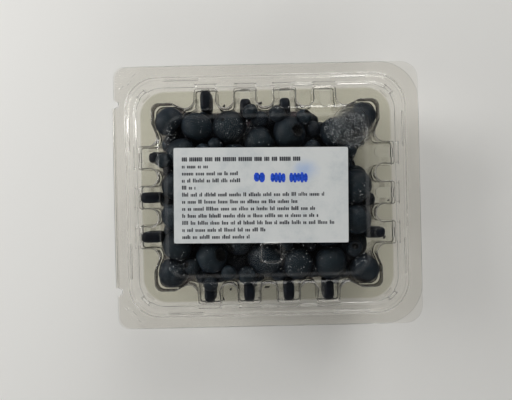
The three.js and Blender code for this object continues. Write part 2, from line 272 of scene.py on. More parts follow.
def slotOutline(line, grow=0.0):
    x, y, outX, outY = line
    start, end, width = pack["slot"]
    half, stop, cut = width / 2 + grow, end + grow, pack["slotCut"]
    local = [(stop, half - cut), (stop - cut, half)]
    for k in range(13):
        angle = math.pi / 2 + math.pi * k / 12
        local.append((start + width / 2 + half * math.cos(angle), half * math.sin(angle)))
    local += [(stop - cut, -half), (stop, -half + cut)]
    return np.array([(x + outX * a - outY * b, y + outY * a + outX * b) for a, b in local])


def insideLoop(points, loop):
    inside = np.zeros(len(points), bool)
    x, y = points[:, 0], points[:, 1]
    for (ax, ay), (bx, by) in zip(loop, np.roll(loop, -1, 0)):
        if ay != by:
            inside ^= ((ay > y) != (by > y)) & (x < ax + (y - ay) / (by - ay) * (bx - ax))
    return inside


def fill(outer, holes, loops=(), loose=None):
    # Triangles between an outline and its holes, with more loops and points inside
    rings = [outer, *holes, *loops]
    points = np.concatenate(rings + ([loose] if loose is not None and len(loose) else []))
    edges, first = [], 0
    for ring in rings:
        edges += [(first + k, first + (k + 1) % len(ring)) for k in range(len(ring))]
        first += len(ring)
    spots, _, faces, _, _, _ = delaunay_2d_cdt([Vector(p) for p in points], edges, [], 0, 1e-5)
    spots = np.array([tuple(p) for p in spots])
    faces = np.array(faces)
    middle = spots[faces].mean(1)
    keep = insideLoop(middle, outer)
    for hole in holes:
        keep &= ~insideLoop(middle, hole)
    return spots, faces[keep]


class Sheet:
    # Gathers rings and fills of one formed surface

    def __init__(self):
        self.points, self.faces = [], []

    def add(self, points, faces):
        first = len(self.points)
        self.points += [tuple(p) for p in points]
        self.faces += [tuple(first + int(v) for v in face) for face in faces]

    def strips(self, rings):
        # Rings run from the inside of the sheet to its outside
        self.add(np.concatenate(rings), ringFaces(0, len(rings), len(rings[0])))


def bentRings(first, corner, last, steps):
    rings = []
    for k in range(steps + 1):
        t = k / steps
        rings.append((1 - t) ** 2 * first + 2 * t * (1 - t) * corner + t * t * last)
    return rings


def lift(loop, z):
    return np.column_stack([loop, np.broadcast_to(z, len(loop))])


def profileRings(profile, bend=0.3, steps=3):
    # Reach, height and corner radius from the ledge outward, with the bends rounded
    profile = np.array(profile, float)
    stations = [profile[0]]
    for before, here, after in zip(profile, profile[1:], profile[2:]):
        enter = here + (before - here) * min(0.45, bend / max(np.linalg.norm((before - here)[:2]), 1e-6))
        leave = here + (after - here) * min(0.45, bend / max(np.linalg.norm((after - here)[:2]), 1e-6))
        stations += bentRings(enter, here, leave, steps)
    stations.append(profile[-1])
    return stations


# Small forms of the rim and brim. Pairs are a limit and how softly the form ends there
rim = {
    "padHalf": (4.3, 0.35),      # pads outside the lobes
    "padFrom": 10.0,
    "padReach": (19.5, 0.3),
    "lugHalf": (2.3, 0.4),       # lugs at the corners
    "lugFrom": (-19.0, 0.4),
    "lugDepth": (22.9, 0.35),
    "lugRise": 1.9,
    "barAlong": (33.5, 25.5),    # snap bars on the lid's ridge: middle on the long and short sides
    "barReach": 21.2,
    "barLong": (7.9, 0.6),
    "barWide": (0.8, 0.4),
    "barRise": 0.5,
    "notchHalf": (1.75, 0.7),    # notches at the ends of the hinge
    "notchPast": 1.2,
    "notchDeep": 1.9,
    "crossDepth": 30.2,          # slanting bars on the brim's corners
    "crossWide": (0.75, 0.45),
    "crossLong": (5.6, 0.8),
    "lip": 0.18,                 # raised edge of the lid's brim
    "brimRings": 16,
}
# Points on the roof: loops round the panel's edge and the mark, rows along the crests' bend, a grid
roofPoints = {
    "panelSteps": (1.2, 0.85, 0.5, 0.2, -0.2, -0.5, -0.85, -1.2),
    "embossSteps": (-0.55, -0.3, -0.1, 0.1, 0.3, 0.55),
    "crestReaches": (7.0, 7.4, 7.8, 8.2, 8.6, 9.0),
    "crestHalf": (30.4, 22.0),   # how far the rows run along x and y
    "crestStep": 0.8,
    "gridHalf": (36.0, 28.0),
    "gridStep": 4.0,
    "support": 0.25,             # extra loop inside an edge
    "slotClear": 0.35,           # how far the rows keep off the slots
    "edgeClear": 0.6,
}


def within(value, limit, soft):
    return smooth((limit - value) / soft)


def evenly(half, step):
    return np.arange(-half, half + 0.1, step)


def rimRings(profile, brim, isLid):
    # Ledge to ridge to brim, with pads at the lobes, lugs at the corners and snap bars
    footZ, coreX, coreY = pack["footZ"], pack["coreX"], pack["coreY"]
    rings = []
    for reach, z, bend in profileRings(profile):
        loop = ringAt(reach, bend)
        x, y = loop[:, 0], loop[:, 1]
        heights = np.full(len(loop), z)
        for lx, ly, outX, outY in lobeLines():
            across = np.abs((x - lx) * outY) + np.abs((y - ly) * outX)
            out = (x - lx) * outX + (y - ly) * outY
            pad = within(across, *rim["padHalf"]) * within(out, *rim["padReach"]) * (out > rim["padFrom"])
            heights = np.maximum(heights, z + (footZ + 0.02 - z) * pad)
        diagonal = (np.abs(x) - np.abs(y) - (coreX - coreY)) / math.sqrt(2)
        depth = (np.abs(x) - coreX + np.abs(y) - coreY) / math.sqrt(2)
        lug = within(np.abs(diagonal), *rim["lugHalf"])
        lug *= within(depth, *rim["lugDepth"]) * within(-depth, *rim["lugFrom"])
        heights = heights + rim["lugRise"] * lug
        if isLid:
            alongX, alongY = rim["barAlong"]
            alongBar = np.where(np.abs(y) - coreY > np.abs(x) - coreX,
                                np.abs(np.abs(x) - alongX), np.abs(np.abs(y) - alongY))
            band = within(abs(reach - rim["barReach"]), *rim["barWide"])
            heights = heights + rim["barRise"] * band * within(alongBar, *rim["barLong"])
        rings.append(lift(loop, heights))
    last = rings[-1]
    edge = castOut(last[:, :2], *brim)
    fromNotch = np.abs(np.abs(edge[:, 1]) - pack["hingeHalf"] - rim["notchPast"])
    edge[:, 0] += rim["notchDeep"] * within(fromNotch, *rim["notchHalf"]) * (edge[:, 0] < -coreX)
    for share in np.linspace(0, 1, rim["brimRings"] + 1)[1:]:
        loop = last[:, :2] * (1 - share) + edge * share
        x, y = loop[:, 0], np.abs(loop[:, 1])
        depth = (y - x - coreX - coreY) / math.sqrt(2)
        aside = np.abs(x + y + coreX - coreY) / math.sqrt(2)
        bar = within(np.abs(depth - rim["crossDepth"]), *rim["crossWide"]) * within(aside, *rim["crossLong"])
        lip = rim["lip"] if share == 1 and isLid else 0
        rings.append(lift(loop, last[0, 2] + rim["barRise"] * bar + lip))
    return rings


def closedSheet(name, sheet):
    # Joins the parts at their edges, turns the faces up and gives the sheet its thickness
    piece = meshObject(name, sheet.points, sheet.faces)
    build = bmesh.new()
    build.from_mesh(piece.data)
    bmesh.ops.remove_doubles(build, verts=build.verts, dist=2e-6)
    bmesh.ops.recalc_face_normals(build, faces=build.faces)
    if sum(f.normal.z * f.calc_area() for f in build.faces) < 0:
        bmesh.ops.reverse_faces(build, faces=build.faces)
    build.to_mesh(piece.data)
    build.free()
    wall = piece.modifiers.new("sheet", "SOLIDIFY")
    wall.thickness = pack["sheet"] * mm
    wall.offset = -1
    wall.use_even_offset = False
    wall.use_quality_normals = True
    return settled(piece)


def formedHalf(name, height, profile, brim, isLid):
    foot = flutedOutline()
    inward = inwardNormals(foot)
    footZ = pack["footZ"]

    def wallAt(z):
        lean = pack["draft"] * (z - footZ) / (height - footZ)
        return foot + inward * np.asarray(lean).reshape(-1, 1)

    def roof(loop):
        return lift(loop, roofHeight(loop[:, 0], loop[:, 1], height))

    top = np.full(len(foot), height)
    for _ in range(30):
        spots = wallAt(top)
        top = roofHeight(spots[:, 0], spots[:, 1], height)
    spots = wallAt(top)
    rounding = pack["edgeRound"]
    inner = spots + inward * rounding
    support = spots + inward * (rounding + roofPoints["support"])
    below = np.maximum(top - rounding * 1.2, footZ + (top - footZ) * 0.6)
    footRound = pack["footRound"]
    rings = [roof(support)]
    rings += bentRings(roof(inner), lift(spots, top), lift(wallAt(below), below), 5)
    above = np.minimum(footZ + footRound * 1.5, footZ + (top - footZ) * 0.35)
    rings.append(lift(wallAt((above + below) / 2), (above + below) / 2))
    rings += bentRings(lift(wallAt(above), above), lift(foot, footZ), lift(foot - inward * footRound, footZ), 4)
    sheet = Sheet()
    sheet.strips(rings)

    # Top
    panelLoops = []
    panelX, panelY = pack["panelHalf"]
    for step in roofPoints["panelSteps"]:
        bend = pack["panelRound"] + step
        panelLoops.append(roundedRect(panelX + step, panelX + step, panelY + step, bend, bend, (30, 24, 12)))
    if isLid:
        midX, midY, halfX, halfY, bend = lidShape["emboss"]
        for step in roofPoints["embossSteps"]:
            loop = roundedRect(halfX + step, halfX + step, halfY + step, bend + step, bend + step, (6, 6, 8))
            panelLoops.append(loop + (midX, midY))
    rows, crestStep = [], roofPoints["crestStep"]
    for reach in roofPoints["crestReaches"]:
        x, y = pack["coreX"] + reach, pack["coreY"] + reach
        rows += [(side * x, t) for side in (-1, 1) for t in evenly(roofPoints["crestHalf"][1], crestStep)]
        rows += [(t, side * y) for side in (-1, 1) for t in evenly(roofPoints["crestHalf"][0], crestStep)]
    rows = np.array(rows)
    rows = rows[insideLoop(rows, inner + inward * roofPoints["edgeClear"])]
    slotted = lobeLines() if isLid else []
    slots = [slotOutline(line) for line in slotted]
    for line in slotted:
        rows = rows[~insideLoop(rows, slotOutline(line, roofPoints["slotClear"]))]
    gridX, gridY = np.meshgrid(*[evenly(half, roofPoints["gridStep"]) for half in roofPoints["gridHalf"]])
    grid = np.column_stack([gridX.ravel(), gridY.ravel()])
    spotsRoof, facesRoof = fill(support, slots, panelLoops, np.concatenate([rows, grid]))
    sheet.add(roof(spotsRoof), facesRoof)

    # Ledge round the foot of the wall
    outerLedge = ringAt(pack["ledgeReach"], profile[0][2])
    innerLedge = foot - inward * footRound
    supportLedge = foot - inward * (footRound + roofPoints["support"])
    spotsLedge, facesLedge = fill(outerLedge, [innerLedge], [supportLedge])
    sheet.add(lift(spotsLedge, footZ), facesLedge)

    sheet.strips(rimRings(profile, brim, isLid))
    return closedSheet(name, sheet)


def placeHalf(piece, flipped):
    for vertex in piece.data.vertices:
        vertex.co.z = pack["seamZ"] * mm + (-vertex.co.z if flipped else vertex.co.z)
    if flipped:
        piece.data.flip_normals()
    smoothShaded(piece, 38)


# Camera first: straight down on the middle of the pack, turned as in the photo
camera = {
    "height": 300.0,             # above the lid's top
    "lidTop": 36.0,
    "angle": 36.5,
    "roll": 1.3,
    "middlePixel": (267, 195),
    "picture": (512, 400),
}
lens = bpy.data.cameras.new("camera")
lens.angle = math.radians(camera["angle"])
lens.shift_x = (camera["picture"][0] / 2 - camera["middlePixel"][0]) / camera["picture"][0]
lens.shift_y = (camera["middlePixel"][1] - camera["picture"][1] / 2) / camera["picture"][0]
lens.clip_start = 0.01
eye = placed("camera", lens)
eye.location = (0, 0, (camera["height"] + camera["lidTop"]) * mm)
eye.rotation_euler = (0, 0, -math.radians(camera["roll"]))
bpy.context.scene.camera = eye

lidShape = {
    "height": 14.0,
    "emboss": (1.35, -22.3, 4.0, 3.8, 1.8),     # middle, half size and corner radius of the pressed mark
    "embossRise": 0.55,
    "profile": [(18.1, 3.2, 10.5), (19.2, 2.0, 10.8), (20.7, 2.0, 11.8), (21.7, 2.0, 12.5),
                (22.5, 2.0, 13.0), (23.05, 0.45, 13.3), (23.8, 0.45, 13.6)],
    "brim": (60.9, 61.75, 52.75, 4.0, 16.0),
}
baseShape = {
    "height": 22.0,
    "profile": [(18.1, 3.2, 10.5), (20.3, -0.3, 11.0), (21.3, -0.3, 12.2), (22.1, 0.7, 12.9),
                (23.8, 0.7, 13.6)],
    "brim": (60.6, 62.0, 53.0, 5.5, 7.0),
}
lid = formedHalf("lidShell", lidShape["height"], lidShape["profile"], lidShape["brim"], True)
placeHalf(lid, False)
print("lid formed", len(lid.data.polygons))
base = formedHalf("baseShell", baseShape["height"], baseShape["profile"], baseShape["brim"], False)
placeHalf(base, True)
print("base formed", len(base.data.polygons))


# Berries
heap = {
    "count": 82,
    "radius": (5.8, 7.0),
    "lobeRadius": 3.8,
    "lobeShape": (1.1, 0.58),    # length and width over height
    "lobePlaces": ((-4.4, 12.3), (3.4, 12.3)),     # height from the seam, reach
    "shallowStep": 3.6,
    "earRadius": 5.5,
    "earPlaces": ((-6.0, 4.4), (5.2, 4.4)),
    "lidNarrowing": 0.074,
    "baseNarrowing": 0.0425,
    "spread": (84, 68, 2, 32),   # x, y, lowest, above it
    "gaps": ((40.5, 14.5, 4.2), (24.5, 36.0, 6.0), (43.0, -19.0, 3.4)),     # x, y, radius: open to the floor
    "rounds": 400,
    "pullRounds": 240,
    "pull": 0.1,
    "pullAlong": (0.6, 0.5, 0.5),
    "wall": 0.75,
    "grown": 1.04,               # single berries against their radius in the packing
    "earGrown": 1.07,
    # Painted shade: berries in the lobes keep this share of their bloom tone and look darker
    "lobeShadeTone": 0.1,
    "seed": 8,
}
small = {                        # little berries in the holes between the others
    "tries": 16000,
    "spread": (98, 82, 4, 29),
    "radius": (2.9, 4.6),
    "squeeze": 0.8,
    "wall": 0.45,
    "heightShare": 0.75,         # radius over the room above and below
    "bareFrom": (41, 33),        # x, y from which bare lobes stay empty
    "seed": 3,
}


def makeRandom(seed):
    state = [seed]

    def draw():
        state[0] = (state[0] * 1664525 + 1013904223) % 4294967296
        return state[0] / 4294967296
    return draw


def clampInside(berry):
    # Inside of the closed pack at the berry's height
    room = heap["wall"] + berry[3]
    ceiling = pack["seamZ"] + lidShape["height"] - pack["panelDrop"] - room
    berry[2] = min(max(berry[2], pack["panelDrop"] + room), ceiling)
    rise = berry[2] - pack["seamZ"]
    narrowing = heap["lidNarrowing"] * rise if rise > 0 else -heap["baseNarrowing"] * rise
    reach = pack["grooveEnd"] - narrowing - room
    berry[0] = min(max(berry[0], -pack["coreX"] - reach), pack["coreX"] + reach)
    berry[1] = min(max(berry[1], -pack["coreY"] - reach), pack["coreY"] + reach)


def isBare(line):
    # Lobes at the back right corner that no berry has rolled into
    return (line[1] > 20 and line[0] > 20) or (line[0] > 30 and line[1] > -5)


def isShallow(line):
    # Lobes with dark only at their inner end
    return abs(line[0]) < 10 and line[1] > 20 or line[0] > 30 or line[0] < -30 and line[1] > 10


def keepOffGaps(berry):
    for x, y, radius in heap["gaps"]:
        dx, dy = berry[0] - x, berry[1] - y
        apart = math.sqrt(dx * dx + dy * dy) + 0.0001
        if apart < radius + berry[3]:
            push = (radius + berry[3] - apart) / apart
            berry[0], berry[1] = berry[0] + dx * push, berry[1] + dy * push


def packBerries():
    # Each berry is x, y, z, radius, held
    draw = makeRandom(heap["seed"])
    berries = []
    for line in lobeLines():
        if not isBare(line):
            for rise, farthest in heap["lobePlaces"]:
                out = farthest - (heap["shallowStep"] if isShallow(line) else 0)
                berries.append([line[0] + line[2] * out, line[1] + line[3] * out, pack["seamZ"] + rise,
                                heap["lobeRadius"], True])
    for sideX in (-1, 1):
        for sideY in (-1, 1):
            for rise, out in heap["earPlaces"]:
                berries.append([sideX * (pack["coreX"] + out), sideY * (pack["coreY"] + out),
                                pack["seamZ"] + rise, heap["earRadius"], True])
    low, high = heap["radius"]
    spreadX, spreadY, lowest, tall = heap["spread"]
    for _ in range(heap["count"]):
        radius = low + (high - low) * draw()
        berry = [spreadX * draw() - spreadX / 2, spreadY * draw() - spreadY / 2, lowest + tall * draw()]
        berry += [radius, False]
        clampInside(berry)
        berries.append(berry)
    for step in range(heap["rounds"]):
        for i, a in enumerate(berries):
            for b in berries[i + 1:]:
                dx, dy, dz = b[0] - a[0], b[1] - a[1], b[2] - a[2]
                touch = a[3] + b[3]
                square = dx * dx + dy * dy + dz * dz
                if square < touch * touch and not (a[4] and b[4]):
                    apart = math.sqrt(square) + 0.0001
                    push = (touch - apart) / apart * (1 if a[4] or b[4] else 0.5)
                    if not a[4]:
                        a[0], a[1], a[2] = a[0] - dx * push, a[1] - dy * push, a[2] - dz * push
                    if not b[4]:
                        b[0], b[1], b[2] = b[0] + dx * push, b[1] + dy * push, b[2] + dz * push
        pull = heap["pull"] * (1 - step / heap["pullRounds"]) if step < heap["pullRounds"] else 0
        for berry in berries:
            if not berry[4]:
                for axis in range(3):
                    berry[axis] -= pull * heap["pullAlong"][axis]
                keepOffGaps(berry)
                clampInside(berry)
    return berries


def addSmall(berries):
    # Fills what is left, out into the lobes and corners, with berries as large as fit
    draw = makeRandom(small["seed"])
    spreadX, spreadY, lowest, tall = small["spread"]
    least, most = small["radius"]
    bareX, bareY = small["bareFrom"]
    spots = np.array([(spreadX * (draw() - 0.5), spreadY * (draw() - 0.5), lowest + tall * math.sqrt(draw()))
                      for _ in range(small["tries"])])
    outline = flutedOutline()
    rise = spots[:, 2] - pack["seamZ"]
    lean = np.where(rise > 0, heap["lidNarrowing"] * rise, -heap["baseNarrowing"] * rise)
    roof = pack["seamZ"] + roofHeight(spots[:, 0], spots[:, 1], lidShape["height"]) - spots[:, 2]
    under = spots[:, 2] - pack["seamZ"] + roofHeight(spots[:, 0], spots[:, 1], baseShape["height"])
    room = np.minimum(small["heightShare"] * np.minimum(roof, under), most + small["wall"]) - small["wall"]
    for x, y, radius in heap["gaps"]:
        room = np.minimum(room, np.hypot(spots[:, 0] - x, spots[:, 1] - y) - radius)
    room[~insideLoop(spots, outline)] = 0
    centres = np.array([b[:3] for b in berries])
    radii = np.array([b[3] for b in berries])
    for spot, free, slope in zip(spots, room, lean):
        if free < least:
            continue
        between = (np.linalg.norm(centres - spot, axis=1) - radii).min() + small["squeeze"]
        if between < least:
            continue
        wall = np.linalg.norm(outline - spot[:2], axis=1).min() - slope - small["wall"]
        radius = min(free, between, wall)
        if radius < least or isBare(spot) and max(abs(spot[0]) - bareX, abs(spot[1]) - bareY) > 0:
            continue
        berries.append([*spot, radius, True])
        centres = np.vstack([centres, spot])
        radii = np.append(radii, radius)
    return berries


berryShape = {
    "around": (24, 16),          # large berries, little ones
    "bodyRings": (12, 8),
    "flat": 0.93,                # height over width
    "crownRim": 0.34,            # radius of the crown's rim
    # Rings of the crown: share of its radius, of its height, and how far they follow its lobes
    "crown": ((0.0, 0.80, 0), (0.3, 0.79, 0), (0.62, 0.80, 0), (0.8, 0.88, 0.3), (0.98, 1.0, 1.0),
              (1.12, 1.0, 1.0), (1.24, 0.97, 0.45)),
    "kinds": (6, 3, 2),          # large, little, pressed into a lobe
    "squareness": 4.0,
    "seed": 5,
}


def berryMesh(name, size, draw, isPressed=False):
    # Unit radius, crown up. Rings from the middle of the crown to the stem scar
    flat = berryShape["flat"] * (0.95 + 0.12 * draw())
    rim = berryShape["crownRim"] * (0.85 + 0.3 * draw())
    tall = 0.055 + 0.05 * draw()
    phase = 6.28 * draw()
    lumps = [(2 + int(3 * draw()), 0.012 + 0.02 * draw(), 6.28 * draw(), draw()) for _ in range(3)]
    rings, masks = [], []
    around, bodyRings = berryShape["around"][size], berryShape["bodyRings"][size]
    turns = np.arange(around) * 2 * math.pi / around

    def addRing(radius, z, mask):
        ring = [radius * np.cos(turns), radius * np.sin(turns), np.broadcast_to(z, around)]
        rings.append(np.column_stack(ring))
        masks.append(mask)

    petal = np.abs(np.cos(2.5 * turns + phase)) ** 0.6
    startAngle = math.asin(min(0.99, rim * 1.34))
    topZ = flat * math.cos(startAngle)
    for across, level, lobed in berryShape["crown"]:
        radius = rim * across * (1 + 0.10 * lobed * (petal - 0.5))
        z = topZ * level + tall * lobed * (petal - 0.25)
        addRing(radius, z, 1.0 if across < 0.9 else (0.75 if lobed == 1.0 else 0.3))
    for k in range(bodyRings):
        angle = startAngle + (math.pi * 0.955 - startAngle) * k / (bodyRings - 1)
        radius, z = math.sin(angle) ** 0.94, flat * math.cos(angle)
        wave = sum(deep * np.cos(n * turns + p + 2 * angle * q) for n, deep, p, q in lumps)
        wave = 1 + wave * math.sin(angle)
        addRing(radius * wave, z, 0.0)
    rings.append(rings[-1] * (0.45, 0.45, 1.0) + (0, 0, 0.05))
    masks.append(0.8)
    points = [np.array(rings[0][0])]
    marks = [1.0]
    for ring, mark in zip(rings[1:], masks[1:]):
        points += list(ring)
        marks += [mark] * around
    points.append(np.array([0, 0, rings[-1][:, 2].mean() + 0.01]))
    marks.append(0.9)
    faces = [(0, 1 + k, 1 + (k + 1) % around) for k in range(around)]
    faces += ringFaces(1, len(rings) - 1, around)
    a = 1 + (len(rings) - 2) * around
    faces += [(a + k, len(points) - 1, a + (k + 1) % around) for k in range(around)]
    if isPressed:
        power = berryShape["squareness"]
        points = [p / max((np.abs(p) ** power).sum() ** (1 / power), 0.1) for p in points]
    mesh = bpy.data.meshes.new(name)
    mesh.from_pydata([tuple(p) for p in points], [], faces)
    mark = mesh.attributes.new("crownMark", "FLOAT", "POINT")
    mark.data.foreach_set("value", marks)
    mesh.shade_smooth()
    return bpy.data.objects.new(name, mesh)


def feed(node, inputs):
    # Gives each input its number, or links the output to it
    for key, value in inputs.items():
        if isinstance(value, bpy.types.NodeSocket):
            node.id_data.links.new(value, node.inputs[key])
        else:
            node.inputs[key].default_value = value


def adder(tree):
    # A call that adds a node to the tree, with its settings and inputs
    def add(kind, inputs=None, **settings):
        node = tree.nodes.new(kind)
        for field, value in settings.items():
            setattr(node, field, value)
        feed(node, inputs or {})
        return node
    return add


def newGroup(name, kind, sockets):
    # A tree with named inputs and outputs. Returns it, the call that adds nodes, and what comes in
    tree = bpy.data.node_groups.new(name, kind)
    for label, way, socket in sockets:
        tree.interface.new_socket(label, in_out=way, socket_type="NodeSocket" + socket)
    add = adder(tree)
    return tree, add, add("NodeGroupInput").outputs


def setInputs(modifier, values):
    for item in modifier.node_group.interface.items_tree:
        if item.item_type == "SOCKET" and item.in_out == "INPUT" and item.name in values:
            modifier[item.identifier] = values[item.name]


def scatterTree():
    # One kind from a collection on every point, turned and sized by the point's own values
    tree, add, source = newGroup("scatterOnPoints", "GeometryNodeTree", (
        ("Geometry", "INPUT", "Geometry"), ("Geometry", "OUTPUT", "Geometry"), ("Kinds", "INPUT", "Collection"),
        ("Skin", "INPUT", "Material"), ("Size", "INPUT", "Float")))

    def own(label, kind):
        return add("GeometryNodeInputNamedAttribute", {"Name": label}, data_type=kind).outputs[0]

    kinds = add("GeometryNodeCollectionInfo", {
        "Collection": source["Kinds"], "Separate Children": True, "Reset Children": True})
    turn = add("FunctionNodeEulerToRotation", {0: own("itemTurn", "FLOAT_VECTOR")})
    size = add("ShaderNodeVectorMath", {0: own("itemSize", "FLOAT_VECTOR"), "Scale": source["Size"]},
               operation="SCALE")
    spread = add("GeometryNodeInstanceOnPoints", {
        "Points": source["Geometry"], "Instance": kinds.outputs[0], "Pick Instance": True,
        "Instance Index": own("itemKind", "INT"), "Rotation": turn.outputs[0], "Scale": size.outputs[0]})
    real = add("GeometryNodeRealizeInstances", {0: spread.outputs[0]})
    paint = add("GeometryNodeSetMaterial", {"Geometry": real.outputs[0], "Material": source["Skin"]})
    add("NodeGroupOutput", {0: paint.outputs[0]})
    return tree


scatterOnPoints = scatterTree()


def scattered(name, shapes, items, material):
    # Items are place, turn, size, kind, and a tone that varies at random and holds painted shade for berries in
    # the lobes. Shapes are the kinds to choose from
    kinds = bpy.data.collections.new(name + "Kinds")
    for shape in shapes:
        kinds.objects.link(shape)
    cloud = bpy.data.meshes.new(name)
    cloud.from_pydata([tuple(c * mm for c in item[0]) for item in items], [], [])
    turns = [angle for item in items for angle in item[1]]
    sizes = [side * mm for item in items for side in item[2]]
    for title, kind, field, values in (("itemTurn", "FLOAT_VECTOR", "vector", turns),
                                       ("itemSize", "FLOAT_VECTOR", "vector", sizes),
                                       ("itemKind", "INT", "value", [item[3] for item in items]),
                                       ("tone", "FLOAT", "value", [item[4] for item in items])):
        cloud.attributes.new(title, kind, "POINT").data.foreach_set(field, values)
    piece = placed(name, cloud)
    spread = piece.modifiers.new("spread", "NODES")
    spread.node_group = scatterOnPoints
    setInputs(spread, {"Kinds": kinds, "Skin": material, "Size": 1.0})
    settled(piece)
    for shape in shapes:
        bpy.data.objects.remove(shape)
    bpy.data.collections.remove(kinds)
    return piece


def makeBerries(skin):
    draw = makeRandom(berryShape["seed"])
    large, little, pressed = berryShape["kinds"]
    shapes = [berryMesh("berryKind%02d" % k, int(large <= k < large + little), draw, k >= large + little)
              for k in range(large + little + pressed)]
    berries = addSmall(packBerries())
    print("packed", len(berries))
    items = []
    for x, y, z, radius, _ in berries:
        turn = (math.acos(1 - 2 * draw()), 0.0, 6.283 * draw())
        size = (radius * heap["grown"],) * 3
        isLittle = radius < heap["radius"][0] - 1
        kind = large + int(draw() * little) if isLittle else int(draw() * large)
        tone = draw()
        if radius == heap["lobeRadius"]:
            # Pressed long and narrow by the lobe, lying on its side
            long, slim = heap["lobeShape"]
            isEnd = abs(x) > pack["coreX"]
            kind = large + little + int(draw() * pressed)
            turn = (math.pi / 2, 0.0, 0.0)
            size = (radius * (long if isEnd else slim), radius, radius * (slim if isEnd else long))
            # Painted shade of the lobe's dark inside: the berry loses most of its bloom
            tone *= heap["lobeShadeTone"]
        elif radius == heap["earRadius"]:
            size = (radius * heap["earGrown"],) * 3
        items.append(((x, y, z), turn, size, kind, tone))
    return scattered("berryHeap", shapes, items, skin)


# Drops under the lid's panel and dark specks lying in the grooves
bits = {
    "dropCount": 420,
    "dropRadius": (0.06, 0.2),
    "mistDrops": 800,
    "mistPlace": (33.0, 26.0, 10.5),
    "dropZ": 34.84,
    "spread": (78, 62),
    "labelHalf": (34.5, 19.2),   # kept clear under the label
    "dropHalf": (38.6, 30.4),    # how far out drops hang
    "mistHalf": (38.4, 30.3),
    "clusters": ((-39, 25, 5), (38, -27, 5), (-37, -27, 6), (38, 0, 6), (10, -27, 9), (-12, 28, 12)),
    "specks": ((-16.7, 36.6, 0.55), (-2.3, 37.3, 0.9), (13.1, 36.6, 0.8), (-15.6, -38.1, 0.6),
               (-0.9, -37.6, 0.7), (-23.8, -42.0, 0.5), (-18.6, -42.0, 0.6), (-8.4, -41.7, 0.5),
               (-3.9, -41.8, 0.6), (47.5, -18.3, 0.9), (49.3, -3.2, 0.6), (-45.6, 18.5, 0.5)),
    "speckZ": 19.18,
    "seed": 12,
}


def kindObject(name, points, faces, isSmooth):
    mesh = bpy.data.meshes.new(name)
    mesh.from_pydata(points, [], faces)
    if isSmooth:
        mesh.shade_smooth()
    return bpy.data.objects.new(name, mesh)


def blobMesh(name, draw, rings, around, wild):
    # A low dome, one unit in radius, with an uneven edge
    wave = [1 + wild * (draw() - 0.5) for _ in range(around)]
    points = [(0, 0, 1)]
    for r in range(rings):
        angle = math.pi / 2 * (r + 1) / rings
        for k in range(around):
            turn = 2 * math.pi * k / around
            out = math.sin(angle) * wave[k]
            points.append((out * math.cos(turn), out * math.sin(turn), math.cos(angle)))
    faces = [(0, 1 + k, 1 + (k + 1) % around) for k in range(around)]
    faces += ringFaces(1, rings, around)
    faces.append([1 + (rings - 1) * around + k for k in reversed(range(around))])
    return kindObject(name, points, faces, True)


def makeDrops(material):
    draw = makeRandom(bits["seed"])
    low, high = bits["dropRadius"]
    clearX, clearY = bits["labelHalf"]
    shapes = [blobMesh("dropKind%d" % k, draw, 3, 10, 0.15) for k in range(3)]
    items = []
    while len(items) < bits["dropCount"]:
        x, y = bits["spread"][0] * (draw() - 0.5), bits["spread"][1] * (draw() - 0.5)
        if draw() < 0.5:
            midX, midY, width = bits["clusters"][int(draw() * len(bits["clusters"]))]
            x = midX + width * (draw() + draw() - 1)
            y = midY + width * (draw() + draw() - 1)
        onLabel = abs(x - label["centre"][0]) < clearX and abs(y) < clearY
        if onLabel or abs(x) > bits["dropHalf"][0] or abs(y) > bits["dropHalf"][1]:
            continue
        radius = low + (high - low) * draw() ** 3
        items.append(((x, y, bits["dropZ"]), (math.pi, 0.0, 6.283 * draw()), (radius, radius, radius * 0.5),
                      int(draw() * 3), draw()))
    midX, midY, reach = bits["mistPlace"]
    for _ in range(bits["mistDrops"]):
        turn, out = 6.283 * draw(), reach * math.sqrt(draw())
        x, y = midX + out * math.cos(turn), midY + 0.8 * out * math.sin(turn)
        radius = low + 0.08 * draw()
        onLabel = x < label["centre"][0] + clearX and y < clearY
        if not onLabel and x < bits["mistHalf"][0] and y < bits["mistHalf"][1]:
            size = (radius, radius, radius * 0.5)
            items.append(((x, y, bits["dropZ"]), (math.pi, 0.0, 0.0), size, 0, draw()))
    return scattered("drops", shapes, items, material)


def makeSpecks(material):
    draw = makeRandom(bits["seed"] + 1)
    shapes = [blobMesh("speckKind%d" % k, draw, 3, 9, 0.7) for k in range(4)]
    items = []
    for x, y, radius in bits["specks"]:
        size = (radius * (0.8 + 0.8 * draw()), radius * (0.5 + 0.3 * draw()), radius * 0.5)
        items.append(((x, y, bits["speckZ"]), (0.0, 0.0, 6.283 * draw()), size, int(draw() * 4), draw()))
    return scattered("berryBits", shapes, items, material)


# Label and what is printed on it
label = {
    "size": (67.6, 37.0),
    "thick": 0.09,
    "bed": 35.25,
    "centre": (-2.3, 0.0),
    "turn": -0.9,
    "corner": 0.4,
    "grid": (68, 38),
    "wave": 0.012,
}


def labelPoint(x, y, z):
    # From the label's own middle to the pack
    turn = math.radians(label["turn"])
    c, s = math.cos(turn), math.sin(turn)
    return label["centre"][0] + x * c - y * s, label["centre"][1] + x * s + y * c, label["bed"] + z


